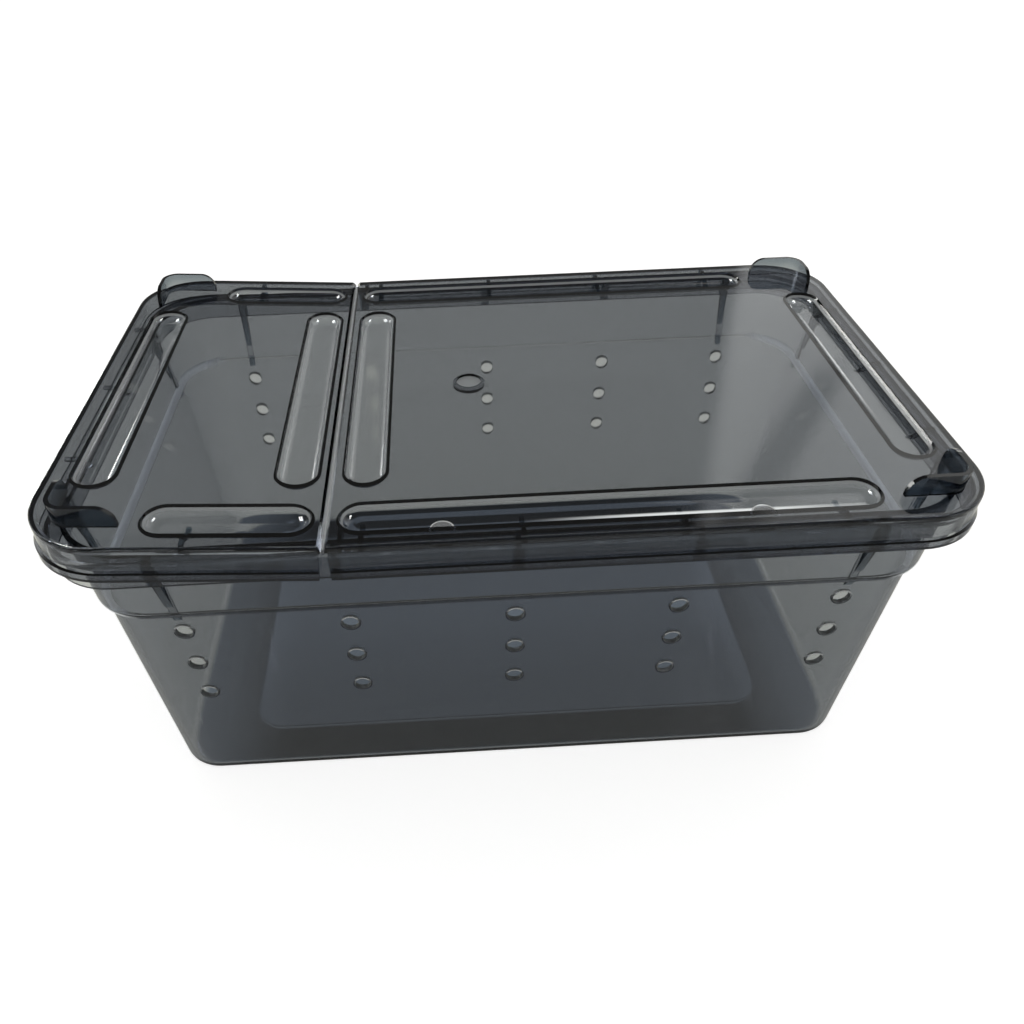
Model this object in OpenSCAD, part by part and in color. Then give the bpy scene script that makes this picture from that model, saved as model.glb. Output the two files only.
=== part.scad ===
// Ventilated pet keeper: a drafted clear tub with a channelled rim, and a press-on
// lid whose left end is a feeding flap on a moulded film hinge.
// Millimetres. X is the length (flap at -X), Y the depth (front at -Y), Z up.
// The origin is the centre of the base's underside.

/* [Overall size] */
// Length over the lid's top edge
box_l = 290; // [260:1:330]
// Width over the lid's top edge
box_w = 175; // [160:1:200]
// Height from the base to the lid's top face
box_h = 127; // [112:1:150]

/* [Tub] */
// Thickness of the tub's walls
wall_t = 1.7; // [1.4:0.1:2.2]
// Thickness of the tub's floor
floor_t = 2.2; // [1.6:0.1:3]
// Draft of the walls, in degrees from upright
draft_deg = 2.2; // [1:0.1:3]
// Outer radius of the upright corners at the rim
mouth_corner_r = 24; // [20:0.5:28]
// Radius of the outside edge round the base
base_edge_r = 3.3; // [2.5:0.1:5]
// Height of the shoulder where the upper band steps out
shoulder_z = 93.4; // [84:0.2:97]
// How far the upper band steps out at the shoulder
band_step = 2.3; // [1.6:0.1:3]
// Margin between the base's long ends and the floor panel
panel_margin_x = 27.5; // [20:0.5:35]
// Margin between the base's long sides and the floor panel
panel_margin_y = 18; // [14:0.5:25]
// Height of the raised floor panel
panel_step = 0.6; // [0.3:0.1:1]

/* [Tub rim] */
// Thickness of the rim's flat top
rim_t = 1.8; // [1.4:0.1:2.4]
// Depth of the rim's turned-down edge, from its top
rim_drop = 10.5; // [9:0.5:14]
// Thickness of the rim's turned-down edge
rim_edge_t = 1.3; // [1:0.1:1.8]
// Free width of the channel between the wall and the turned-down edge
channel_w = 2; // [1.5:0.1:3]
// Rounding of the rim's outer top edge
rim_edge_r = 1.2; // [0.6:0.1:1.6]
// Rounding of the mouth's inner top edge
mouth_edge_r = 0.9; // [0.5:0.1:1.3]
// Thickness of the short ribs that brace the rim channel
channel_rib_t = 1.5; // [1:0.1:2.2]
// Thickness of the gussets that run down over the shoulder
gusset_t = 2.4; // [1.6:0.1:3]
// How far the gussets reach below the shoulder
gusset_drop = 2; // [1:0.2:4]
// Distance of the end gussets from the middle of the ends
gusset_y = 55; // [48:0.5:57]

/* [Vents] */
// Diameter of the vent holes
vent_d = 5.6; // [4.5:0.1:7]
// Number of vent columns on each long wall
vent_cols = 5; // [3:1:5]
// Number of vent rows on each long wall
vent_rows = 3; // [2:1:4]
// Spacing of the vent columns
vent_pitch_x = 54.2; // [40:0.2:56]
// Spacing of the vent rows
vent_pitch_z = 16.7; // [12:0.1:20]
// Distance of the top vent row below the shoulder
vent_drop = 8; // [6.6:0.2:14]

/* [Lid] */
// Thickness of the lid's plate
lid_t = 2; // [1.6:0.1:2.6]
// Plan radius of the lid's corners
lid_corner_r = 24; // [20:0.5:30]
// Depth of the lid's skirt, from the top face
skirt_h = 12; // [11:0.2:15]
// Thickness of the lid's skirt
skirt_t = 1.4; // [1.1:0.1:1.8]
// Height of the thicker lip along the skirt's bottom
lip_h = 2.8; // [2:0.1:4]
// How far the lip stands out from the skirt
lip_out = 1; // [0.4:0.1:1.6]
// Rounding of the lid's outer top edge
top_edge_r = 0.8; // [0.4:0.1:1.2]
// Clearance between the lid's skirt and the tub's rim
fit_gap = 0.2; // [0.1:0.05:0.5]
// Height of the ribs that the lid rests on
rest_h = 1; // [0.6:0.1:1.6]
// Thickness of the rest ribs
rest_rib_t = 1.4; // [1:0.1:2]
// How far the rest ribs reach out over the rim, from the mouth's inner face
rest_l = 3.6; // [2.6:0.1:5]
// Number of rest ribs along each long side of the main panel, past the one at the hinge line
rest_ribs = 4; // [3:1:6]
// Spacing of the rest ribs along the ends
rest_pitch_y = 43; // [35:0.5:50]
// Length of the catch beads inside the skirt
bead_l = 15.5; // [10:0.5:20]
// Height of the catch beads above the skirt's bottom
bead_up = 3.7; // [3.2:0.1:5]
// Radius of the catch beads
bead_r = 0.7; // [0.5:0.05:0.9]
// Running clearance between the catch beads and the rim
bead_gap = 0.06; // [0.03:0.01:0.1]
// Distance of a catch bead's middle from the rest rib beside it
bead_rib_x = 10; // [9:0.5:14]

/* [Troughs] */
// Width of the lid's moulded troughs at the top face
trough_w = 13.4; // [10:0.2:15]
// Depth of the troughs
trough_d = 3.3; // [2.4:0.1:4.5]
// Width of the flat along a trough's bottom
trough_flat = 4.4; // [3:0.2:6]
// Thickness of a trough's wall
trough_t = 1.6; // [1.2:0.1:2.2]
// Clearance between the side troughs and the tub's mouth
plug_gap = 0.25; // [0.15:0.05:0.6]
// Extra distance of the end troughs from the tub's mouth
end_trough_inset = 1; // [0.5:0.1:2]
// Length of the troughs that run across the lid
cross_trough_l = 116; // [100:1:122]
// Distance of the side troughs' ends from the lid's ends
side_trough_margin = 34.5; // [32:0.5:40]
// Distance of the side troughs' ends from the hinge line
seam_margin = 4; // [3.2:0.1:6]
// Distance of the cross troughs' centre lines from the hinge line
seam_trough_x = 10.8; // [10:0.2:13]
// Radius of the half-round pads on the front trough's wall
pad_r = 3.8; // [2.5:0.1:4.5]
// Distance of those pads below the top face
pad_drop = 0.9; // [0.5:0.1:1.5]
// Diameter of the gate well near the lid's middle
gate_d = 9.2; // [7:0.2:12]
// Depth of the gate well
gate_depth = 1.2; // [0.8:0.1:1.5]
// Distance of the gate well from the hinge line
gate_x = 46; // [30:0.5:60]

/* [Flap and film hinge] */
// Length of the feeding flap, from the lid's end to the hinge line
flap_l = 88.2; // [75:0.2:92]
// Thickness of the hinge film
film_t = 0.4; // [0.3:0.05:0.6]
// Width of the V-groove above the film, at the top face
groove_w = 3.2; // [3:0.1:4]
// Clearance between the film's round edge and the flap
film_gap = 0.05; // [0.03:0.01:0.1]
// Width of the slot through the skirt at the hinge line
slot_w = 3; // [2:0.1:5]
// How far the flap stands open as drawn, in degrees
flap_open_deg = 3.5; // [0:0.5:30]

/* [Stacking ribs] */
// Height of the corner ribs on the lid
stack_h = 7; // [4:0.5:10]
// Thickness of the corner ribs
stack_t = 1.4; // [1:0.1:2]
// Length of a corner rib's long leg
stack_leg_x = 20.5; // [15:0.5:26]
// Length of a corner rib's short leg
stack_leg_y = 17; // [12:0.5:19]
// Plan radius of a corner rib's bend
stack_bend_r = 6; // [4:0.5:8]
// Rounding of the legs' free ends
stack_end_r = 5.5; // [2:0.5:6.5]
// Room between a stacked box's base and the ribs, along X
stack_gap_x = 2; // [1:0.2:6]
// Room between a stacked box's base and the ribs, along Y
stack_gap_y = 1; // [0.6:0.2:2.4]

/* [Hidden] */
$fn = 48;
smoke = [0.36, 0.38, 0.40, 0.55];
eps = 0.01;

// Corner centres of everything that follows the lid's outline
lid_cx = box_l / 2 - lid_corner_r;
lid_cy = box_w / 2 - lid_corner_r;

// Heights of the lid's and rim's faces
lid_bottom_z = box_h - lid_t;
rim_z = lid_bottom_z - rest_h;
rim_foot_z = rim_z - rim_drop;

// The rim's turned-down edge, inside the lid's skirt
rim_outer_r = lid_corner_r - skirt_t - fit_gap;
rim_inner_r = rim_outer_r - rim_edge_t;

// Corner centres of the tub's walls, and the walls' radii about them
band_half_l = lid_cx + rim_inner_r - channel_w;
band_half_w = lid_cy + rim_inner_r - channel_w;
tub_cx = band_half_l - mouth_corner_r;
tub_cy = band_half_w - mouth_corner_r;
draft = tan(draft_deg);
base_r = mouth_corner_r - band_step - rim_z * draft;
base_half_l = tub_cx + base_r;
base_half_w = tub_cy + base_r;

// Inner faces of the tub's mouth
mouth_half_l = band_half_l - wall_t;
mouth_half_w = band_half_w - wall_t;

// A trough's section: a flat bottom between two arcs
trough_r = (pow((trough_w - trough_flat) / 2, 2) + pow(trough_d, 2)) / (2 * trough_d);
pan_h = trough_d + trough_t;
// Half width of a trough's underside at the height of the rim's top
pan_half = trough_flat / 2 + sqrt(pow(trough_r + trough_t, 2)
    - pow(lid_t + rest_h + trough_r - trough_d, 2));

// Centre lines of the troughs that plug into the mouth
side_y = mouth_half_w - plug_gap - pan_half;
end_x = mouth_half_l - plug_gap - end_trough_inset - pan_half;

// Hinge line
seam_x = flap_l - box_l / 2;
hinge_z = lid_bottom_z + film_t / 2;
film_edge = film_t / 2 + film_gap;

// Spans of the side troughs
main_span = [seam_x + seam_margin, box_l / 2 - side_trough_margin];
flap_span = [side_trough_margin - box_l / 2, seam_x - seam_margin];

// Rest ribs along the long sides, from the first cross trough to the lid's corner
rib_0 = seam_x + seam_trough_x;
rib_end = box_l / 2 - side_trough_margin - trough_w;
rib_pitch = (rib_end - rib_0) / (rest_ribs - 1);
main_ribs_x = [seam_x + seam_margin + rest_rib_t / 2, for (i = [0:rest_ribs - 1]) rib_0 + i * rib_pitch];
ribs_y = [-rest_pitch_y, 0, rest_pitch_y];

// Catch beads, and pads in the middle of the first and last bays between the ribs
beads_x = [rib_0 + bead_rib_x, rib_end - rib_pitch + bead_rib_x];
pads_x = [rib_0 + rib_pitch / 2, rib_end - rib_pitch / 2];

// Outer faces of the corner ribs on the lid
stack_x = base_half_l + stack_gap_x + stack_t;
stack_y = base_half_w + stack_gap_y + stack_t;

// Points of an arc in a profile
function arc(x, y, r, a0, a1, n) = [for (i = [0:n]) let(a = a0 + (a1 - a0) * i / n)
    [x + r * cos(a), y + r * sin(a)]];

// Outer radius of the lower wall at a height
function wall_r(z) = base_r + z * draft;

// Rounded rectangle by its corner centres and radius
module plan(cx, cy, r) {
    square([2 * cx + 2 * r, 2 * cy], center = true);
    square([2 * cx, 2 * cy + 2 * r], center = true);
    for (x = [-cx, cx], y = [-cy, cy]) translate([x, y]) circle(r);
}

// Sweeps a profile (distance from the corner centres, height) round the outline
module sweep(cx, cy) {
    for (i = [0:3]) {
        long = i % 2 == 0;
        x = (i == 0 || i == 3) ? cx : -cx;
        y = i < 2 ? cy : -cy;
        translate([x, y, 0]) rotate(90 * i) rotate_extrude(angle = 90) children();
        translate([x, y, 0]) rotate([90, 0, 90 * i]) linear_extrude(long ? 2 * cy : 2 * cx) children();
    }
}

// Wall section from the base up to the rim's top
module wall_profile() {
    fillet_x = base_r + base_edge_r * draft - base_edge_r / cos(draft_deg);
    inner_r = max(base_edge_r - wall_t, 1);
    inner_x = base_r - wall_t + (floor_t + inner_r) * draft - inner_r / cos(draft_deg);
    half = band_step / 2;
    lift = wall_t * tan(22.5);
    foot = wall_r(shoulder_z);
    foot_in = foot - wall_t + lift * draft;
    mouth = mouth_corner_r - wall_t;
    polygon(concat(
        [[base_r - 2 * base_edge_r, 0]],
        arc(fillet_x, base_edge_r, base_edge_r, -90, -draft_deg, 6),
        arc(foot + half, shoulder_z, half, 180, 90, 4),
        arc(foot + half, shoulder_z + band_step, half, -90, 0, 4),
        [[mouth_corner_r, rim_z]],
        arc(mouth + mouth_edge_r, rim_z - mouth_edge_r, mouth_edge_r, 90, 180, 4),
        arc(foot_in + half, shoulder_z + band_step + lift, half, 0, -90, 4),
        arc(foot_in + half, shoulder_z + lift, half, 90, 180, 4),
        arc(inner_x, floor_t + inner_r, inner_r, -draft_deg, -90, 4),
        [[base_r - 2 * base_edge_r, floor_t]]
    ));
}

// Rim section: the outer part of its flat top and the turned-down edge
module rim_profile() {
    polygon(concat(
        [[rim_inner_r, rim_foot_z], [rim_outer_r, rim_foot_z]],
        arc(rim_outer_r - rim_edge_r, rim_z - rim_edge_r, rim_edge_r, 0, 90, 5),
        [[rim_inner_r - channel_w, rim_z], [rim_inner_r - channel_w, rim_z - rim_t],
         [rim_inner_r - rim_edge_t / 2, rim_z - rim_t], [rim_inner_r, rim_z - rim_t - rim_edge_t / 2]]
    ));
}

// Upright fin across the rim channel that runs down over the shoulder
module gusset(reach) {
    top = mouth_corner_r + channel_w + rim_edge_t / 2;
    translate([0, gusset_t / 2, 0]) rotate([90, 0, 0]) linear_extrude(gusset_t) polygon([
        [reach - wall_t / 2, rim_z - rim_t / 2],
        [reach - mouth_corner_r + top, rim_z - rim_t / 2],
        [reach - mouth_corner_r + top, rim_foot_z + rim_edge_t],
        [reach - mouth_corner_r + wall_r(shoulder_z) + band_step / 2, shoulder_z - gusset_drop + band_step],
        [reach - mouth_corner_r + wall_r(shoulder_z), shoulder_z - gusset_drop],
        [reach - mouth_corner_r + wall_r(shoulder_z) - wall_t / 2, shoulder_z - gusset_drop]
    ]);
}

// Short rib across the rim channel
module channel_rib() {
    foot = rim_foot_z + rim_edge_t;
    translate([-channel_rib_t / 2, band_half_w - wall_t / 2, foot])
        cube([channel_rib_t, channel_w + wall_t / 2 + rim_edge_t / 2, rim_z - rim_t / 2 - foot]);
}

module tub() {
    vent_x0 = -vent_pitch_x * (vent_cols - 1) / 2;
    vent_l = 2 * (base_half_w + band_step + rim_z * draft);
    color(smoke) difference() {
        union() {
            linear_extrude(floor_t) plan(tub_cx, tub_cy, base_r - 1.5 * base_edge_r);
            translate([0, 0, floor_t - eps]) linear_extrude(panel_step + eps) plan(
                base_half_l - panel_margin_x - mouth_corner_r / 2,
                base_half_w - panel_margin_y - mouth_corner_r / 2, mouth_corner_r / 2);
            sweep(tub_cx, tub_cy) wall_profile();
            sweep(lid_cx, lid_cy) rim_profile();
            translate([0, 0, rim_z - rim_t]) linear_extrude(rim_t) difference() {
                plan(lid_cx, lid_cy, rim_inner_r - channel_w / 2);
                plan(tub_cx, tub_cy, mouth_corner_r - (wall_t - mouth_edge_r) / 2);
            }
            for (side = [0, 180]) rotate(side) {
                for (i = [0:vent_cols - 1]) translate([vent_x0 + i * vent_pitch_x, 0, 0]) channel_rib();
                for (x = [vent_x0, -vent_x0]) translate([x, 0, 0]) rotate(90) gusset(band_half_w);
                for (y = [-gusset_y, gusset_y]) translate([0, y, 0]) gusset(band_half_l);
            }
        }
        for (i = [0:vent_cols - 1], k = [0:vent_rows - 1])
            translate([vent_x0 + i * vent_pitch_x, 0, shoulder_z - vent_drop - k * vent_pitch_z])
                rotate([90, 0, 0]) cylinder(d = vent_d, h = vent_l, center = true);
    }
}

// Lid section: the plate's outer part, the skirt and its lip
module skirt_profile() {
    lip_top = lip_h + lip_out;
    inner = lid_corner_r - skirt_t;
    polygon(concat(
        [[lid_corner_r - 3 * skirt_t, lid_bottom_z], [inner - skirt_t / 2, lid_bottom_z],
         [inner, lid_bottom_z - skirt_t / 2], [inner, box_h - skirt_h + lip_h],
         [inner + lip_out / 2, box_h - skirt_h + lip_h - lip_out], [inner + lip_out / 2, box_h - skirt_h],
         [lid_corner_r + lip_out, box_h - skirt_h],
         [lid_corner_r + lip_out, box_h - skirt_h + lip_h],
         [lid_corner_r, box_h - skirt_h + lip_top]],
        arc(lid_corner_r - top_edge_r, box_h - top_edge_r, top_edge_r, 0, 90, 5),
        [[lid_corner_r - 3 * skirt_t, box_h]]
    ));
}

// Section of a trough, grown by its wall for the underside
module trough_section(grow) {
    intersection() {
        union() {
            translate([-trough_flat / 2, -trough_d - grow]) square([trough_flat, trough_d + grow + 1]);
            for (x = [-trough_flat / 2, trough_flat / 2])
                translate([x, trough_r - trough_d]) circle(trough_r + grow);
        }
        translate([-trough_w, -trough_d - grow]) square([2 * trough_w, trough_d + grow + (grow > 0 ? -lid_t / 2 : 1)]);
    }
}

// Trough with round ends along X, centred, its edge on the plane z = 0
module trough(len, grow) {
    run = len - trough_w;
    translate([-run / 2, 0, 0]) rotate([90, 0, 90]) linear_extrude(run) trough_section(grow);
    for (x = [-run / 2, run / 2]) translate([x, 0, 0]) rotate_extrude() intersection() {
        trough_section(grow);
        translate([0, -trough_w]) square(2 * trough_w);
    }
}

// The troughs of one panel: the pair of side troughs over a span, and its cross troughs
module troughs(span, cross_x, grow) {
    translate([0, 0, box_h]) {
        for (y = [-side_y, side_y])
            translate([(span[0] + span[1]) / 2, y, 0]) trough(span[1] - span[0], grow);
        for (x = cross_x) translate([x, 0, 0]) rotate(90) trough(cross_trough_l, grow);
    }
}

// Rib under the lid: a rest on the rim, and a web that fills the outer corner of a trough
module rest_rib(centre, mouth) {
    web = mouth - plug_gap;
    reach = mouth + rest_l;
    translate([0, rest_rib_t / 2, 0]) rotate([90, 0, 0]) linear_extrude(rest_rib_t) polygon([
        [centre, box_h - lid_t / 2 - trough_d / 2], [centre, box_h - pan_h],
        [web - 2 * rest_h, box_h - pan_h], [web, box_h - pan_h + rest_h],
        [web, rim_z], [reach, rim_z], [reach, box_h - lid_t / 2]
    ]);
}

// Half-round bead along the inside of the front and back skirts
module bead() {
    reach = lid_cy + rim_outer_r + bead_gap + bead_r;
    for (y = [-reach, reach]) translate([0, y, box_h - skirt_h + bead_up])
        rotate([0, 90, 0]) cylinder(r = bead_r, h = bead_l, center = true, $fn = 24);
}

// One leg of a corner rib: runs back from its bend along -X, free end rounded
module stack_leg(len) {
    run = len - stack_bend_r;
    translate([-run, 0, 0]) rotate([90, 0, 0]) linear_extrude(stack_t) {
        translate([stack_end_r, 0]) square([run - stack_end_r, stack_h]);
        square([run, stack_h - stack_end_r]);
        intersection() {
            translate([stack_end_r, stack_h - stack_end_r]) circle(stack_end_r);
            square(stack_h);
        }
    }
}

// Corner rib, its bend towards +X and +Y
module stack_rib() {
    translate([stack_x - stack_bend_r, stack_y - stack_bend_r, box_h - eps]) {
        rotate_extrude(angle = 90) translate([stack_bend_r - stack_t, 0]) square([stack_t, stack_h]);
        translate([0, stack_bend_r, 0]) stack_leg(stack_leg_x);
        translate([stack_bend_r, 0, 0]) rotate(90) mirror([0, 1, 0]) stack_leg(stack_leg_y);
    }
}

// Whole lid without troughs, as if the flap were shut and the hinge line uncut
module lid_blank() {
    translate([0, 0, lid_bottom_z]) linear_extrude(lid_t) plan(lid_cx, lid_cy, lid_corner_r - 2 * skirt_t);
    sweep(lid_cx, lid_cy) skirt_profile();
}

// Everything on the flap's side (-1) or the main panel's side (1) of the hinge line
module panel_side(side) {
    reach = box_l + box_w;
    translate([seam_x, 0, 0]) rotate([90, 0, 0]) linear_extrude(reach, center = true) polygon([
        [side * slot_w / 2, 0], [side * slot_w / 2, lid_bottom_z], [side * film_edge, lid_bottom_z],
        [side * film_edge, hinge_z + film_t / 2], [side * groove_w / 2, box_h],
        [side * groove_w / 2, box_h + 2 * stack_h], [side * reach, box_h + 2 * stack_h], [side * reach, 0]
    ]);
}

module lid_panel() {
    cross = [seam_x + seam_trough_x, end_x];
    color(smoke) union() {
        difference() {
            union() {
                intersection() {
                    lid_blank();
                    panel_side(1);
                }
                troughs(main_span, cross, trough_t);
                for (side = [-1, 1], x = main_ribs_x) translate([x, 0, 0]) rotate(90 * side)
                    rest_rib(side_y, mouth_half_w);
                for (y = ribs_y) translate([0, y, 0])
                    rest_rib(end_x, mouth_half_l);
                translate([seam_x + gate_x, 0, box_h - lid_t - gate_depth])
                    cylinder(d = gate_d + 2 * gate_depth, h = lid_t);
            }
            troughs(main_span, cross, 0);
            translate([seam_x + gate_x, 0, box_h - gate_depth]) cylinder(d = gate_d, h = 2 * gate_depth);
        }
        for (x = beads_x) translate([x, 0, 0]) bead();
        intersection() {
            for (x = pads_x) translate([x, -side_y - trough_w / 2, box_h - pan_h])
                cylinder(r = pad_r, h = pan_h - pad_drop);
            troughs(main_span, [], trough_t);
        }
        for (y = [0, 1]) mirror([0, y, 0]) stack_rib();
    }
}

// Thin web under the V-groove, its free edge round about the hinge line
module film_hinge() {
    color(smoke) translate([seam_x, 0, hinge_z]) rotate([90, 0, 0])
        linear_extrude(box_w - 2 * skirt_t, center = true) {
            circle(d = film_t, $fn = 24);
            translate([0, -film_t / 2]) square([film_edge, film_t]);
        }
}

module lid_flap() {
    cross = [seam_x - seam_trough_x, -end_x];
    color(smoke) translate([seam_x, 0, hinge_z]) rotate([0, flap_open_deg, 0]) translate([-seam_x, 0, -hinge_z]) {
        difference() {
            union() {
                intersection() {
                    lid_blank();
                    panel_side(-1);
                }
                troughs(flap_span, cross, trough_t);
                for (side = [-1, 1]) translate([-rib_end, 0, 0]) rotate(90 * side)
                    rest_rib(side_y, mouth_half_w);
                for (y = ribs_y) translate([0, y, 0]) rotate(180)
                    rest_rib(end_x, mouth_half_l);
            }
            troughs(flap_span, cross, 0);
        }
        for (y = [0, 1]) mirror([0, y, 0]) mirror([1, 0, 0]) stack_rib();
    }
}

tub();
lid_panel();
film_hinge();
lid_flap();
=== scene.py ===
"""Looks of the pet keeper: clear smoky plastic on a white floor, seen from the photograph's angle.

The pieces are the CAD's own and only get materials here. Rough trough bottoms are set by position
in the pieces' own coordinates, and so is painted light: painted shade on the ribs, vents and front
skirt, and painted highlights with a faint painted glow on a few edges; the floor carries a painted
shadow under the base."""

import math

import bpy
from mathutils import Matrix, Vector

# Camera: place in millimetres, angles in degrees, focal length and middle in pixels of a 1024 frame
CAMERA_AT = (-17.7, -258.6, 282.2)
YAW, PITCH, ROLL = 1.65, 42.52, -1.84
FOCAL_PX = 808.0
MIDDLE_PX = (475.4, 545.2)
FRAME_PX = 1024.0
SENSOR_MM = 36.0
CLIP_START = 0.01

# Rendering: how often light is followed through the plastic
MAX_BOUNCES = 24
MAX_TRANSPARENT = 32

# Everything below that is a place on the part is in metres; EDGE is how soft a painted edge is
EDGE = 0.0001

# Tub: half sizes and corner radii of the base and of the raised panel in it, and their soft edges
BASE_HALF = (0.1300, 0.0725)
BASE_R = 0.0140
BASE_SOFT = 0.0015
PANEL_HALF = (0.1055, 0.0575)
PANEL_R = 0.012
PANEL_SOFT = 0.0006
# The outer face of the upper band: x and y where it starts, at BAND_Z, and how it leans out above that;
# SHOULDER is the height over which it steps out from the lower wall, by SHOULDER_STEP
BAND_FACE = (0.1367, 0.0792)
BAND_Z = 0.0934
BAND_LEAN = 0.0412
SHOULDER = (0.0925, 0.0965)
SHOULDER_STEP = 0.0023
# Gussets on that face, which carry painted shade: x of the ones on the long walls, y of the ones on the
# ends, where they begin in height, and how far from the face their painted shade is full
LONG_GUSSETS = (0.1071, 0.1097)
END_GUSSETS = (0.0537, 0.0563)
GUSSET_FOOT = (0.0905, 0.091)
GUSSET_PROUD = 0.0002
# Channel ribs as the rim's outer wall shows them, with painted shade: half width, the wall's y, its
# height, and how dark
RIM_RIB_HALF = (0.0014, 0.0022)
RIM_WALL = (0.0834, 0.0838)
RIM_Z = (0.1135, 0.1215)
RIM_SOFT = 0.0006
RIM_RIB_SHADE = 0.9
# Vents: pitch along and up, rows, height of the top row, how far a row reaches in pitches, radius, width
# of the ring round each, and y beyond which a point is in a long wall; then, from a hole's middle up,
# where its painted dark line of shade ends and where its painted glint starts
VENT_PITCH = (0.0542, 0.0167)
VENT_ROWS = 3
VENT_TOP = 0.0854
ROW_REACH = 0.4
VENT_R = 0.0028
VENT_RING = 0.0006
LONG_WALL = 0.07
VENT_LINE = (0.0, 0.0012)
VENT_GLINT = (0.0014, 0.0024)
# Inner shoulder at the ends, which carries a painted highlight with a faint glow: height, x from which
# it shows, and the inner face, with the wall's draft
INNER_SHOULDER = (0.0943, 0.0962)
INNER_END = (0.118, 0.13)
INNER_FACE = 0.1348
DRAFT = 0.0384

# Lid: hinge axis, how far the flap stands open, and heights of the plate's top and underside
HINGE = (-0.0568, 0.0, 0.1252)
FLAP_OPEN_DEG = 3.5
LID_TOP = 0.127
PLATE_UNDER = LID_TOP - 0.002
# Corner ribs, which carry painted shade: the foot, and the heights over which that shade changes from
# one value to the other; the ones at the back, beyond BACK_FROM in y, stand against the light and get
# painted shade of their own
CORNER_FOOT = (LID_TOP + 0.0001, LID_TOP + 0.0003)
FRONT_CORNER_Z, FRONT_CORNER_SHADE = (LID_TOP + 0.001, LID_TOP + 0.0075), (1, 0.72)
BACK_CORNER_Z, BACK_CORNER_SHADE = (LID_TOP + 0.001, LID_TOP + 0.0065), (0.5, 0.78)
BACK_FROM = (0.05, 0.06)
# Rest ribs, which carry painted shade: x of each, half width, the y where they begin, and their top
REST_RIBS = (-0.0971, -0.0521, -0.046, 0.0017, 0.0494, 0.0971)
REST_HALF = 0.0008
REST_FROM = (0.0738, 0.074)
REST_TOP = LID_TOP - 0.0021
# Catch beads inside the skirt, which carry painted shade: x of each, half length, height, and y
BEADS = (-0.036, 0.0594)
BEAD_HALF = 0.0077
BEAD_Z = (0.118, 0.1194)
BEAD_Y = (0.0859, 0.08608)
# Cross troughs: x of each, and half sizes; and of every trough the height of its wall and how far out
CROSS_TROUGHS = (-0.0676, -0.046)
CROSS_HALF = (0.0066, 0.0505)
TROUGH_WALL = (LID_TOP - 0.0018, LID_TOP - 0.0010)
TROUGH_REACH = (0.139, 0.082)
# Seam over the hinge, where a light line is painted as a highlight
SEAM_HALF = 0.0004
# Half-round pads in the front trough, whose arcs carry a painted highlight: x of each, y, the arc's
# inner and outer radius, and their top
PADS = (-0.0222, 0.0733)
PAD_Y = -0.0806
PAD_ARC = (0.0033, 0.0041)
PAD_TOP = LID_TOP - 0.0008
# Front skirt, which carries painted shade: its y, and x over which its bluish tint fades
FRONT_SKIRT = -0.0855
SKIRT_FADE = (0.09, 0.13)
# Painted highlight streak, with a faint glow, on the front trough's edge: y, how soft, the lowest
# height, and along x where it rises, where it fades down to STREAK_FAINT, and its end
STREAK_Y = (-0.0772, -0.0757)
STREAK_SOFT = 0.0005
STREAK_LOW = LID_TOP - 0.004
STREAK_RISE = (0.0, 0.045)
STREAK_FADE = (0.07, 0.105)
STREAK_FAINT = 0.25
STREAK_END = 0.106

# The plastic: refraction, body colour, how fast it absorbs, the tint of the painted shade on the ribs
# seen through their faces, the polish, and the tint of the faint painted glow at a few edges
IOR = 1.49
SMOKE = (0.405, 0.432, 0.487)
SMOKE_DENSITY = 770.0
RIB_SHADE_TINT = (0.18, 0.24, 0.30)
ROUGHNESS = 0.03
PAINTED_GLOW_TINT = (0.95, 1.0, 1.0)

# Floor: how much light it scatters, how far it is lifted to white where it is seen, and the share of
# that lift that reflections find in front; over GLOSS_RISE in y it grows to all of it behind
FLOOR_SIZE = 6
FLOOR_GREY = 0.6
FLOOR_LIFT = 0.75
FLOOR_GLOSS = 0.1
GLOSS_RISE = (-0.05, 0.15)
# Painted shadow under the base: its colour, the tint of its lift, and that lift: RING_LIFT everywhere,
# PANEL_LIFT more below the raised panel, which gains PANEL_BACK over PANEL_RISE in y, and up to
# SIDE_LIFT more at the ends, from END_IN inside the panel's ends outwards; the lifts are painted light
# inside that shadow
BASE_SHADOW_COLOUR = (0.235, 0.25, 0.28)
BASE_SHADOW_TINT = (0.95, 1.04, 1.04)
RING_LIFT = 0.04
PANEL_LIFT = 0.23
PANEL_BACK = 0.12
PANEL_RISE = (-0.05, 0.01)
SIDE_LIFT = 0.23
END_IN = 0.02

# World. Directions are unit vectors; x over z and y over z place what is overhead.
WHITE = (1.0, 1.0, 1.0)
# Its light, and what reflections and refractions find low in front, low behind and overhead; front turns
# into behind between -SKY_TURN and SKY_TURN in y, and low into overhead over SKY_FADE in height
SKY_LIGHT = 0.6
SKY_FRONT = 0.3
SKY_LOW = 0.9
SKY_HIGH = 0.15
SKY_TURN = 0.3
SKY_FADE = (0.15, 0.45)
# The horizon's tint seen through the plastic, the tint of the rest, and the height between the two
SKY_WARM = (1.0, 0.985, 0.80)
SKY_PALE = (1.0, 1.0, 0.98)
TONE_RISE = (0.03, 0.25)
# Least divisors, and the least y of a direction that counts as behind
MIN_DIVISOR = 0.05
BEHIND = 0.1
# The window: strength, a point on its left edge, the edge's slant and softness, where along the edge it
# starts, and the height over which it comes in
WINDOW = 1.0
WINDOW_AT = (0.50, 1.25)
WINDOW_SLANT = 0.36
WINDOW_SOFT = 0.03
WINDOW_START = (-0.8, -0.6)
WINDOW_RISE = (0.1, 0.3)
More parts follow.
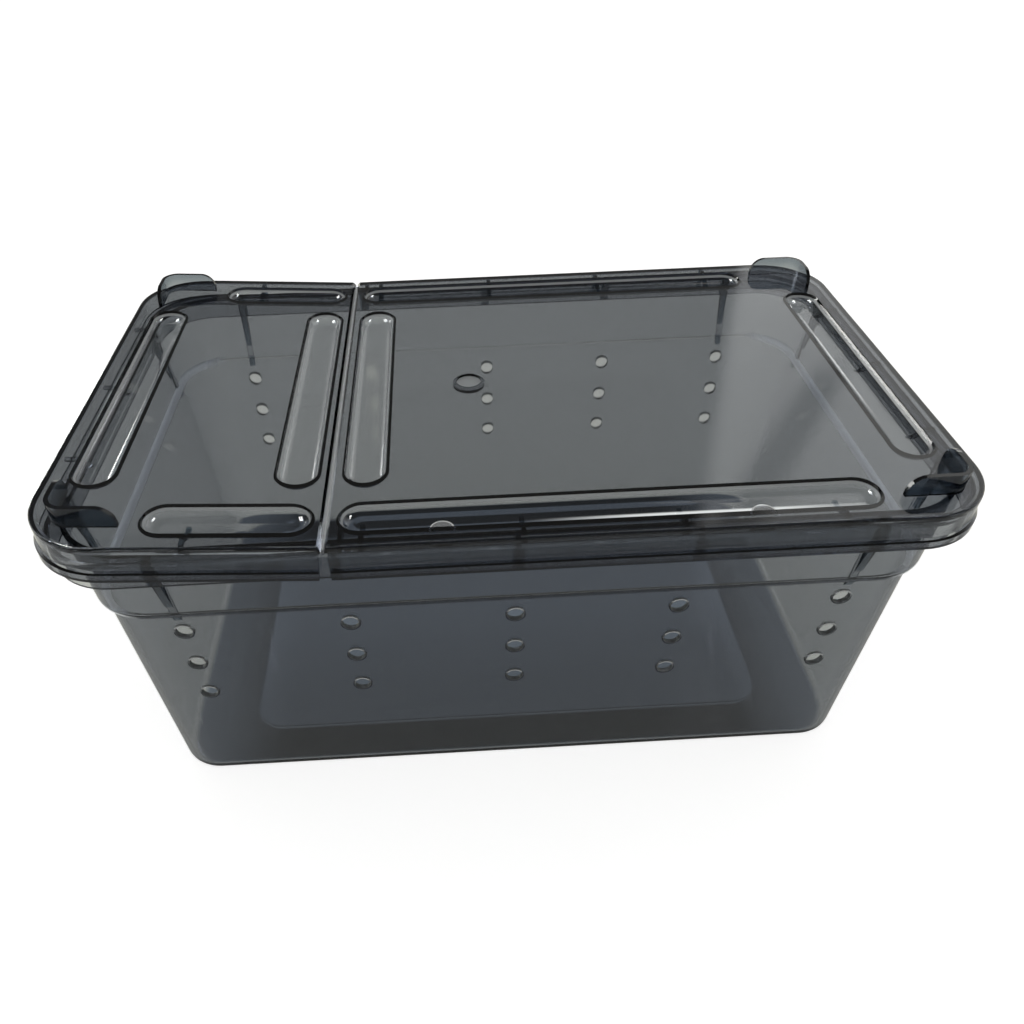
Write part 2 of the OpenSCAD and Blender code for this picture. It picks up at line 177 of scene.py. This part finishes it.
# A dark bar across it: a point, its slant, its two sides from that point, their softness, its extent and
# how soft its ends are, and how far it dims the window
BAR_AT = (0.575, 1.208)
BAR_SLANT = 0.715
BAR_SIDES = (-0.03, 0.06)
BAR_SOFT = 0.03
BAR_ALONG = (1.1, 1.65)
BAR_END_SOFT = 0.1
BAR_DIM = 0.7
# Lamps overhead, as ranges of x over z and y over z, and what reflections and refractions find there
LAMPS = (((-0.90, -0.50), (0.15, 0.65)), ((0.60, 0.90), (0.05, 0.50)))
LAMP_SOFT = 0.03
LAMP_GLOSSY = 20.0
LAMP_CLEAR = 1.5
# Bright strips low behind the box: ranges of x over y and of height, and their strength in reflections;
# then the softness of each range, and the share of the strength that refractions find
STRIPS = (
    ((-1.25, -0.72), (-0.02, 0.40), 9.0),
    ((0.60, 0.76), (0.30, 0.41), 3.0),
)
STRIP_SOFT = (0.04, 0.02)
STRIP_CLEAR = 0.2

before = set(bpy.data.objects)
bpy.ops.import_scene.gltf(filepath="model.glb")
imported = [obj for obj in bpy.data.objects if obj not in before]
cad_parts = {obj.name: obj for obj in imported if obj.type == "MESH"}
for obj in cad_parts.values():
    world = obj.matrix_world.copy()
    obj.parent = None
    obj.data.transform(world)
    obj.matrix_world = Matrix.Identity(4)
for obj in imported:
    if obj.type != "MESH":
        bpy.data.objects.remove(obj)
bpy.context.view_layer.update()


def new_material(name):
    mat = bpy.data.materials.new(name)
    mat.use_nodes = True
    mat.node_tree.nodes.clear()
    return mat, mat.node_tree.nodes, mat.node_tree.links


class Maths:
    """Builds chains of nodes in one node tree; a value is a number or an output socket."""

    def __init__(self, tree):
        self.nodes, self.links = tree.nodes, tree.links

    def op(self, kind, *values):
        node = self.nodes.new("ShaderNodeMath")
        node.operation = kind
        for i, value in enumerate(values):
            if isinstance(value, (int, float)):
                node.inputs[i].default_value = value
            else:
                self.links.new(value, node.inputs[i])
        return node.outputs[0]

    def plus(self, a, b):
        return self.op("ADD", a, b)

    def minus(self, a, b):
        return self.op("SUBTRACT", a, b)

    def times(self, first, *others):
        for value in others:
            first = self.op("MULTIPLY", first, value)
        return first

    def highest(self, first, *others):
        for value in others:
            first = self.op("MAXIMUM", first, value)
        return first

    def size(self, value):
        return self.op("ABSOLUTE", value)

    def less(self, a, b):
        """1 where a < b."""
        return self.op("LESS_THAN", a, b)

    def more(self, a, b):
        """1 where a > b."""
        return self.op("GREATER_THAN", a, b)

    def length(self, a, b):
        """Length of the vector (a, b)."""
        return self.op("SQRT", self.plus(self.times(a, a), self.times(b, b)))

    def blend(self, a, b, factor):
        """a where factor is 0, b where it is 1."""
        return self.plus(self.times(b, factor), self.times(a, self.minus(1, factor)))

    def mix(self, a, b, factor):
        """Colour a where factor is 0, b where it is 1; a colour is three numbers or a socket."""
        mix = self.nodes.new("ShaderNodeMix")
        mix.data_type = "RGBA"
        for name, colour in (("A", a), ("B", b)):
            if isinstance(colour, tuple):
                mix.inputs[name].default_value = (*colour, 1)
            else:
                self.links.new(colour, mix.inputs[name])
        self.links.new(factor, mix.inputs["Factor"])
        return mix.outputs["Result"]

    def ramp(self, value, low, high, at_low, at_high):
        """A smooth change from at_low, up to low, to at_high, from high on."""
        node = self.nodes.new("ShaderNodeMapRange")
        node.interpolation_type = "SMOOTHSTEP"
        limits = {"From Min": low, "From Max": high, "To Min": at_low, "To Max": at_high}
        for name, number in limits.items():
            node.inputs[name].default_value = number
        self.links.new(value, node.inputs["Value"])
        return node.outputs[0]

    def span(self, value, low, high, soft):
        """1 where low < value < high, with soft edges."""
        up = self.ramp(value, low - soft, low + soft, 0, 1)
        down = self.ramp(value, high - soft, high + soft, 1, 0)
        return self.times(up, down)

    def near(self, value, places, half, soft):
        """1 within half of one of the places, with soft edges."""
        return self.highest(*(self.span(value, at - half, at + half, soft) for at in places))

    def point(self, output="Object"):
        """x, y and z of a texture coordinate."""
        coord = self.nodes.new("ShaderNodeTexCoord")
        split = self.nodes.new("ShaderNodeSeparateXYZ")
        self.links.new(coord.outputs[output], split.inputs[0])
        return split.outputs

    def ray(self, kind):
        """1 on rays of one kind: Camera, Glossy or Transmission."""
        return self.nodes.new("ShaderNodeLightPath").outputs[f"Is {kind} Ray"]


def layer(where, tint, clear, rough, glow=0):
    """What a place on a piece shows instead of plain plastic; where is 1 there and 0 elsewhere."""
    return where, tint, clear, rough, glow


def plastic(name, dark, layers):
    """Clear smoky plastic: a sharp refracting surface over an absorbing body.
    The second argument, given maths, gives 0 on plain walls and up to 1 on the ribs, where shade is
    painted;
    layers(maths) lists the other places that differ, painted highlights and painted shade among them,
    each laid over the ones before it."""
    mat, nodes, links = new_material(name)
    maths = Maths(mat.node_tree)
    # Painted shade: the colour darkens towards the rib shade tint where the rib mask is 1
    colour = maths.mix(WHITE, RIB_SHADE_TINT, dark(maths))
    clear, rough, glow = 1.0, ROUGHNESS, 0.0
    for where, its_tint, its_clear, its_rough, its_glow in layers(maths):
        colour = maths.mix(colour, its_tint, where)
        clear = maths.blend(clear, its_clear, where)
        rough = maths.blend(rough, its_rough, where)
        glow = maths.blend(glow, its_glow, where)
    bsdf = nodes.new("ShaderNodeBsdfPrincipled")
    bsdf.inputs["IOR"].default_value = IOR
    bsdf.inputs["Emission Color"].default_value = (*PAINTED_GLOW_TINT, 1)
    links.new(colour, bsdf.inputs["Base Color"])
    links.new(clear, bsdf.inputs["Transmission Weight"])
    links.new(rough, bsdf.inputs["Roughness"])
    links.new(glow, bsdf.inputs["Emission Strength"])
    # The painted glow is too faint to be worth sampling as a lamp
    mat.cycles.emission_sampling = "NONE"
    absorb = nodes.new("ShaderNodeVolumeAbsorption")
    absorb.inputs["Color"].default_value = (*SMOKE, 1)
    absorb.inputs["Density"].default_value = SMOKE_DENSITY
    out = nodes.new("ShaderNodeOutputMaterial")
    links.new(bsdf.outputs[0], out.inputs["Surface"])
    links.new(absorb.outputs[0], out.inputs["Volume"])
    return mat


def tub_painted_shade(maths):
    """Painted shade on the gussets, and on the channel ribs where the rim's outer wall shows them."""
    x, y, z = maths.point()
    ax, ay = maths.size(x), maths.size(y)
    step = maths.plus(maths.ramp(z, *SHOULDER, 0, SHOULDER_STEP),
                      maths.times(maths.minus(z, BAND_Z), BAND_LEAN))
    proud_x = maths.minus(maths.minus(ax, BAND_FACE[0]), step)
    proud_y = maths.minus(maths.minus(ay, BAND_FACE[1]), step)
    on_long_walls = maths.times(maths.span(ax, *LONG_GUSSETS, EDGE),
                                maths.ramp(proud_y, 0, GUSSET_PROUD, 0, 1))
    on_ends = maths.times(maths.span(ay, *END_GUSSETS, EDGE),
                          maths.ramp(proud_x, 0, GUSSET_PROUD, 0, 1))
    gussets = maths.times(maths.ramp(z, *GUSSET_FOOT, 0, 1), maths.highest(on_long_walls, on_ends))
    off_rib = maths.op("PINGPONG", ax, VENT_PITCH[0] / 2)
    ribs = maths.times(maths.ramp(off_rib, *RIM_RIB_HALF, RIM_RIB_SHADE, 0),
                       maths.ramp(ay, *RIM_WALL, 0, 1),
                       maths.span(z, *RIM_Z, RIM_SOFT))
    return maths.highest(gussets, ribs)


def tub_layers(maths):
    """Painted shade on the vents' inner faces and in a dark line round the lower half of the front ones,
    a painted glint round the top of all, and a painted highlight with a faint glow on the inner shoulder
    at the ends."""
    x, y, z = maths.point()
    ax, ay = maths.size(x), maths.size(y)
    pitch = VENT_PITCH[1]
    across = maths.op("PINGPONG", x, VENT_PITCH[0] / 2)
    # Height above the middle of the nearest row; the whole pitches keep the modulo's value positive
    row = maths.op("MODULO", maths.plus(z, (VENT_ROWS + 1.5) * pitch - VENT_TOP), pitch)
    up = maths.minus(row, pitch / 2)
    away = maths.length(across, up)
    lowest = VENT_TOP - (VENT_ROWS - 1) * pitch
    rows = maths.span(z, lowest - ROW_REACH * pitch, VENT_TOP + ROW_REACH * pitch, EDGE)
    walls = maths.times(rows, maths.more(ay, LONG_WALL))
    # Painted shade: the vents' inner faces in a dull dark grey
    inner = maths.times(walls, maths.less(away, VENT_R + EDGE / 2))
    ring = maths.times(walls, maths.span(away, VENT_R + EDGE / 2, VENT_R + VENT_RING, EDGE / 4))
    # Painted shade: a dark line round the lower half of the front vents
    line = maths.times(ring, maths.ramp(up, *VENT_LINE, 1, 0), maths.less(y, 0))
    # Painted highlight: a glint round the top of every vent
    glint = maths.times(ring, maths.ramp(up, *VENT_GLINT, 0, 1))
    # Painted highlight with a faint glow on the inner shoulder at the ends
    shoulder = maths.times(maths.span(z, *INNER_SHOULDER, EDGE),
                           maths.less(maths.minus(ax, maths.times(z, DRAFT)), INNER_FACE),
                           maths.ramp(ax, *INNER_END, 0, 1))
    return (
        layer(inner, (0.2, 0.21, 0.21), clear=0.5, rough=0.4),
        layer(line, (0.02, 0.025, 0.035), clear=0.6, rough=0.1),
        layer(glint, (0.7, 0.72, 0.72), clear=0.3, rough=0.3),
        layer(shoulder, (0.9, 0.92, 0.92), clear=0.4, rough=0.3, glow=0.3),
    )


def lid_point(maths, turn):
    """x, y and z on the lid with its panel laid flat; turn is the angle it stands open, in radians."""
    x, y, z = maths.point()
    if not turn:
        return x, y, z
    cos, sin = math.cos(turn), math.sin(turn)
    dx, dz = maths.minus(x, HINGE[0]), maths.minus(z, HINGE[2])
    flat_x = maths.minus(maths.times(dx, cos), maths.times(dz, sin))
    flat_z = maths.plus(maths.times(dx, sin), maths.times(dz, cos))
    return maths.plus(HINGE[0], flat_x), y, maths.plus(HINGE[2], flat_z)


def lid_painted_shade(turn):
    """Painted shade on the corner ribs, rest ribs and catch beads of the lid, or of its flap, which
    stands open by turn.
    """

    def build(maths):
        x, y, z = lid_point(maths, turn)
        ay = maths.size(y)
        fade = maths.blend(maths.ramp(z, *FRONT_CORNER_Z, *FRONT_CORNER_SHADE),
                           maths.ramp(z, *BACK_CORNER_Z, *BACK_CORNER_SHADE),
                           maths.ramp(y, *BACK_FROM, 0, 1))
        corners = maths.times(maths.ramp(z, *CORNER_FOOT, 0, 1), fade)
        rests = maths.times(maths.near(x, REST_RIBS, REST_HALF, EDGE),
                            maths.less(z, REST_TOP),
                            maths.ramp(ay, *REST_FROM, 0, 1))
        beads = maths.times(maths.near(x, BEADS, BEAD_HALF, EDGE),
                            maths.span(z, *BEAD_Z, EDGE),
                            maths.span(ay, *BEAD_Y, EDGE / 10))
        return maths.highest(corners, rests, beads)

    return build


def pad_arc(maths, x, y, at):
    """The round edge of the half-round pad whose middle is at x = at."""
    across, deep = maths.minus(x, at), maths.minus(y, PAD_Y)
    return maths.times(maths.span(maths.length(across, deep), *PAD_ARC, EDGE), maths.more(deep, 0))


def lid_layers(turn):
    """On the lid, or on its flap, which stands open by turn: the cross troughs' bottoms, which blur
    what shows through them, the walls of all troughs, a painted highlight along the seam and on the
    pads' arcs, painted shade on the front skirt, and a painted highlight streak with a faint glow."""

    def build(maths):
        x, y, z = lid_point(maths, turn)
        ax, ay = maths.size(x), maths.size(y)
        bottoms = maths.times(maths.near(x, CROSS_TROUGHS, CROSS_HALF[0], EDGE),
                              maths.less(ay, CROSS_HALF[1]))
        walls = maths.times(maths.span(z, *TROUGH_WALL, EDGE),
                            maths.less(ax, TROUGH_REACH[0]),
                            maths.less(ay, TROUGH_REACH[1]))
        # Painted highlight: a light line along the seam
        seam = maths.near(x, HINGE[:1], SEAM_HALF, EDGE / 2)
        # Painted highlight on the pads' arcs
        arcs = maths.times(maths.highest(*(pad_arc(maths, x, y, at) for at in PADS)),
                           maths.less(z, PAD_TOP))
        # Painted shade on the front skirt, a bluish tint that fades towards the ends
        skirt = maths.times(maths.less(y, FRONT_SKIRT),
                            maths.less(z, PLATE_UNDER),
                            maths.ramp(ax, *SKIRT_FADE, 1, 0))
        # Painted highlight streak with a faint glow on the front trough's edge
        streak = maths.times(maths.span(y, *STREAK_Y, STREAK_SOFT),
                             maths.more(z, STREAK_LOW),
                             maths.ramp(x, *STREAK_RISE, 0, 1),
                             maths.ramp(x, *STREAK_FADE, 1, STREAK_FAINT),
                             maths.less(x, STREAK_END))
        return (
            layer(bottoms, WHITE, clear=1.0, rough=0.14),
            layer(walls, (0.5, 0.52, 0.53), clear=0.45, rough=0.3),
            layer(seam, (0.8, 0.82, 0.84), clear=0.3, rough=0.3),
            layer(arcs, (0.85, 0.87, 0.87), clear=0.25, rough=0.3),
            layer(skirt, (0.69, 0.73, 0.79), clear=1.0, rough=ROUGHNESS),
            layer(streak, (0.9, 0.92, 0.92), clear=0.3, rough=0.1, glow=0.4),
        )

    return build


def seen(maths, glossy=1.0):
    """1 on camera and transmission rays, which show the white background, and glossy on reflections;
    glossy is a number or a socket."""
    straight = maths.highest(maths.ray("Camera"), maths.ray("Transmission"))
    return maths.highest(straight, maths.times(maths.ray("Glossy"), glossy))


def white_to_camera(maths, colour):
    """White to the camera, and the colour given where the plastic shows it."""
    return maths.mix(colour, WHITE, maths.ray("Camera"))


def outline(maths, x, y, half, radius, soft):
    """1 inside a rounded rectangle about the origin, 0 outside it."""
    qx = maths.minus(maths.size(x), half[0] - radius)
    qy = maths.minus(maths.size(y), half[1] - radius)
    outside = maths.length(maths.highest(qx, 0), maths.highest(qy, 0))
    inside = maths.op("MINIMUM", maths.highest(qx, qy), 0)
    return maths.ramp(maths.plus(outside, inside), radius - soft, radius + soft, 1, 0)


def floor_material():
    """White floor: grey enough to keep the object's shadow and lifted to white where it is seen, but
    with a painted shadow under the base, which lets little light through to it, lighter under the raised
    panel, towards the back and at the ends."""
    mat, nodes, links = new_material("floor_white")
    maths = Maths(mat.node_tree)
    x, y, _ = maths.point()
    # Painted shadow under the base, with painted lifts under the panel and at the ends
    under = outline(maths, x, y, BASE_HALF, BASE_R, BASE_SOFT)
    panel = outline(maths, x, y, PANEL_HALF, PANEL_R, PANEL_SOFT)
    sides = maths.ramp(maths.size(x), PANEL_HALF[0] - END_IN, BASE_HALF[0], 0, SIDE_LIFT)
    lift = maths.times(maths.minus(1, under), FLOOR_LIFT)
    lift = maths.plus(lift, maths.times(
        panel, maths.ramp(y, *PANEL_RISE, PANEL_LIFT, PANEL_LIFT + PANEL_BACK)))
    lift = maths.plus(lift, maths.times(under, maths.plus(sides, RING_LIFT)))
    behind = maths.ramp(y, *GLOSS_RISE, FLOOR_GLOSS, 1)
    diffuse = nodes.new("ShaderNodeBsdfDiffuse")
    links.new(maths.mix((FLOOR_GREY,) * 3, BASE_SHADOW_COLOUR, under), diffuse.inputs["Color"])
    glow = nodes.new("ShaderNodeEmission")
    links.new(maths.times(lift, seen(maths, behind)), glow.inputs["Strength"])
    links.new(maths.mix(white_to_camera(maths, SKY_WARM), BASE_SHADOW_TINT, under), glow.inputs["Color"])
    both = nodes.new("ShaderNodeAddShader")
    links.new(diffuse.outputs[0], both.inputs[0])
    links.new(glow.outputs[0], both.inputs[1])
    out = nodes.new("ShaderNodeOutputMaterial")
    links.new(both.outputs[0], out.inputs["Surface"])
    return mat


def window_light(maths, u, v, dz):
    """The window overhead and behind, with its slanting left edge and the dark bar across it;
    u and v are x over z and y over z of the direction."""
    along = maths.minus(v, WINDOW_AT[1])
    edge = maths.minus(maths.minus(u, WINDOW_AT[0]), maths.times(along, WINDOW_SLANT))
    light = maths.times(maths.ramp(edge, -WINDOW_SOFT, WINDOW_SOFT, 0, 1),
                        maths.ramp(along, *WINDOW_START, 0, 1),
                        maths.ramp(dz, *WINDOW_RISE, 0, WINDOW))
    beside = maths.minus(u, maths.times(maths.minus(v, BAR_AT[1]), BAR_SLANT))
    bar = maths.times(maths.span(beside, *(BAR_AT[0] + side for side in BAR_SIDES), BAR_SOFT),
                      maths.span(v, *BAR_ALONG, BAR_END_SOFT))
    return maths.times(light, maths.minus(1, maths.times(bar, BAR_DIM)))


def sky_light(maths, dx, dy, dz):
    """What reflections and refractions find in a direction: a bright horizon that is dimmer in front,
    the window, the strips behind and the lamps overhead."""
    glossy = maths.ray("Glossy")
    horizon = maths.ramp(dy, -SKY_TURN, SKY_TURN, SKY_FRONT, SKY_LOW)
    sky = maths.blend(SKY_HIGH, horizon, maths.ramp(dz, *SKY_FADE, 1, 0))
    height = maths.highest(dz, MIN_DIVISOR)
    u, v = maths.op("DIVIDE", dx, height), maths.op("DIVIDE", dy, height)
    sky = maths.highest(sky, window_light(maths, u, v, dz))
    bearing = maths.op("DIVIDE", dx, maths.highest(dy, MIN_DIVISOR))
    share = maths.times(maths.highest(glossy, STRIP_CLEAR), maths.more(dy, BEHIND))
    for across, high, strength in STRIPS:
        spot = maths.times(maths.span(bearing, *across, STRIP_SOFT[0]),
                           maths.span(dz, *high, STRIP_SOFT[1]))
        sky = maths.plus(sky, maths.times(spot, strength, share))
    lamp = maths.plus(maths.times(glossy, LAMP_GLOSSY - LAMP_CLEAR), LAMP_CLEAR)
    for across, deep in LAMPS:
        spot = maths.times(maths.span(u, *across, LAMP_SOFT), maths.span(v, *deep, LAMP_SOFT))
        sky = maths.plus(sky, maths.times(spot, lamp))
    return sky


def studio():
    """The world: white to the camera, the sky above to reflections and refractions, soft as light."""
    world = bpy.data.worlds.new("studio")
    world.use_nodes = True
    nodes, links = world.node_tree.nodes, world.node_tree.links
    nodes.clear()
    maths = Maths(world.node_tree)
    dx, dy, dz = maths.point("Generated")
    sky = maths.highest(sky_light(maths, dx, dy, dz), maths.ray("Camera"))
    overhead = maths.highest(maths.ramp(dz, *TONE_RISE, 0, 1), maths.minus(1, maths.ray("Transmission")))
    tone = maths.mix(SKY_WARM, SKY_PALE, overhead)
    background = nodes.new("ShaderNodeBackground")
    links.new(maths.blend(SKY_LIGHT, sky, seen(maths)), background.inputs["Strength"])
    links.new(white_to_camera(maths, tone), background.inputs["Color"])
    out = nodes.new("ShaderNodeOutputWorld")
    links.new(background.outputs[0], out.inputs["Surface"])
    return world


def photo_camera():
    """The camera that sees the part as the photograph does."""
    data = bpy.data.cameras.new("camera")
    camera = bpy.data.objects.new("camera", data)
    yaw, pitch, roll = (math.radians(angle) for angle in (YAW, PITCH, ROLL))
    level = Vector((math.cos(yaw), -math.sin(yaw), 0))
    ahead = Vector((math.sin(yaw), math.cos(yaw), 0))
    forward = ahead * math.cos(pitch) - Vector((0, 0, math.sin(pitch)))
    upright = level.cross(forward)
    right = level * math.cos(roll) + upright * math.sin(roll)
    up = upright * math.cos(roll) - level * math.sin(roll)
    basis = Matrix((right, up, -forward)).transposed().to_4x4()
    camera.matrix_world = Matrix.Translation(Vector(CAMERA_AT) / 1000) @ basis
    data.sensor_width = SENSOR_MM
    data.lens = FOCAL_PX / FRAME_PX * SENSOR_MM
    data.shift_x = (FRAME_PX / 2 - MIDDLE_PX[0]) / FRAME_PX
    data.shift_y = (MIDDLE_PX[1] - FRAME_PX / 2) / FRAME_PX
    data.clip_start = CLIP_START
    return camera


tub_mat = plastic("tub_smoke", tub_painted_shade, tub_layers)
lid_mat = plastic("lid_smoke", lid_painted_shade(0), lid_layers(0))
flap_turn = math.radians(FLAP_OPEN_DEG)
flap_mat = plastic("flap_smoke", lid_painted_shade(flap_turn), lid_layers(flap_turn))
materials = {"tub": tub_mat, "lid_panel": lid_mat, "film_hinge": lid_mat, "lid_flap": flap_mat}
for node, mat in materials.items():
    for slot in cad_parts[node].material_slots:
        slot.material = mat

bpy.ops.mesh.primitive_plane_add(size=FLOOR_SIZE, location=(0, 0, 0))
floor = bpy.context.object
floor.name = "floor"
floor.data.materials.append(floor_material())

scene = bpy.context.scene
scene.world = studio()
scene.camera = photo_camera()
scene.collection.objects.link(scene.camera)
scene.view_settings.view_transform = "Standard"
scene.cycles.max_bounces = MAX_BOUNCES
scene.cycles.transmission_bounces = MAX_BOUNCES
scene.cycles.transparent_max_bounces = MAX_TRANSPARENT
